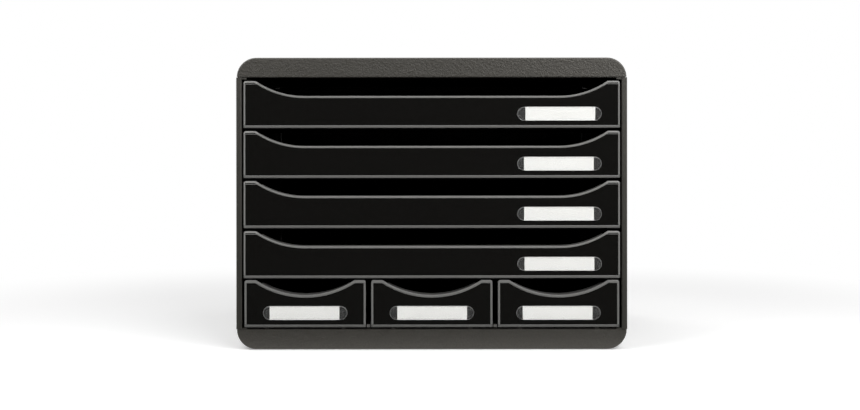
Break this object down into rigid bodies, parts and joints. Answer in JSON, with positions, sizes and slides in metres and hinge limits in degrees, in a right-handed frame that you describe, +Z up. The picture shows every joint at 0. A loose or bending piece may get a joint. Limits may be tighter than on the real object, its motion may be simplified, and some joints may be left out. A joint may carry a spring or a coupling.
{
  "type": "desktop drawer unit",
  "caption": "Low box-shaped desktop storage unit with rounded corners, wide shallow drawers above a row of small drawers, scooped finger edges and label holders.",
  "frame": {"origin": "on the desk under the middle of the unit", "axes": "+X to the right of the front, +Y to the back, +Z up; the drawers pull out along -Y"},
  "size_m": [0.355, 0.27, 0.2652],
  "materials": {
    "grained_cover": "fine moulded grain, matte",
    "matte_wall": "fine moulded grain, matte",
    "inner_panel": "plain moulded",
    "gloss_drawer": "polished",
    "clear_window": "clear polished",
    "label_card": "plain white card",
    "foot_rubber": "matte"
  },
  "bodies": {
    "case": {"top_cap": "grained_cover", "bottom_cap": "grained_cover", "left_wall": "matte_wall", "right_wall": "matte_wall", "back_panel": "inner_panel", "ceiling_panel": "inner_panel", "floor_panel": "inner_panel", "foot_front_left": "foot_rubber", "foot_front_right": "foot_rubber", "foot_rear_left": "foot_rubber", "foot_rear_right": "foot_rubber"},
    "wide_drawer_1": {"wide_tray_1": "gloss_drawer", "wide_window_1": "clear_window", "wide_card_1": "label_card"},
    "wide_drawer_2": {"wide_tray_2": "gloss_drawer", "wide_window_2": "clear_window", "wide_card_2": "label_card"},
    "wide_drawer_3": {"wide_tray_3": "gloss_drawer", "wide_window_3": "clear_window", "wide_card_3": "label_card"},
    "wide_drawer_4": {"wide_tray_4": "gloss_drawer", "wide_window_4": "clear_window", "wide_card_4": "label_card"},
    "small_drawer_left": {"small_tray_left": "gloss_drawer", "small_window_left": "clear_window", "small_card_left": "label_card"},
    "small_drawer_middle": {"small_tray_middle": "gloss_drawer", "small_window_middle": "clear_window", "small_card_middle": "label_card"},
    "small_drawer_right": {"small_tray_right": "gloss_drawer", "small_window_right": "clear_window", "small_card_right": "label_card"}
  },
  "joints": [
    {"name": "wide_drawer_1_slide", "type": "slide", "parent": "case", "child": "wide_drawer_1", "axis": [0, -1, 0], "range_m": [0, 0.19]},
    {"name": "wide_drawer_2_slide", "type": "slide", "parent": "case", "child": "wide_drawer_2", "axis": [0, -1, 0], "range_m": [0, 0.19]},
    {"name": "wide_drawer_3_slide", "type": "slide", "parent": "case", "child": "wide_drawer_3", "axis": [0, -1, 0], "range_m": [0, 0.19]},
    {"name": "wide_drawer_4_slide", "type": "slide", "parent": "case", "child": "wide_drawer_4", "axis": [0, -1, 0], "range_m": [0, 0.19]},
    {"name": "small_drawer_left_slide", "type": "slide", "parent": "case", "child": "small_drawer_left", "axis": [0, -1, 0], "range_m": [0, 0.19]},
    {"name": "small_drawer_middle_slide", "type": "slide", "parent": "case", "child": "small_drawer_middle", "axis": [0, -1, 0], "range_m": [0, 0.19]},
    {"name": "small_drawer_right_slide", "type": "slide", "parent": "case", "child": "small_drawer_right", "axis": [0, -1, 0], "range_m": [0, 0.19]}
  ]
}
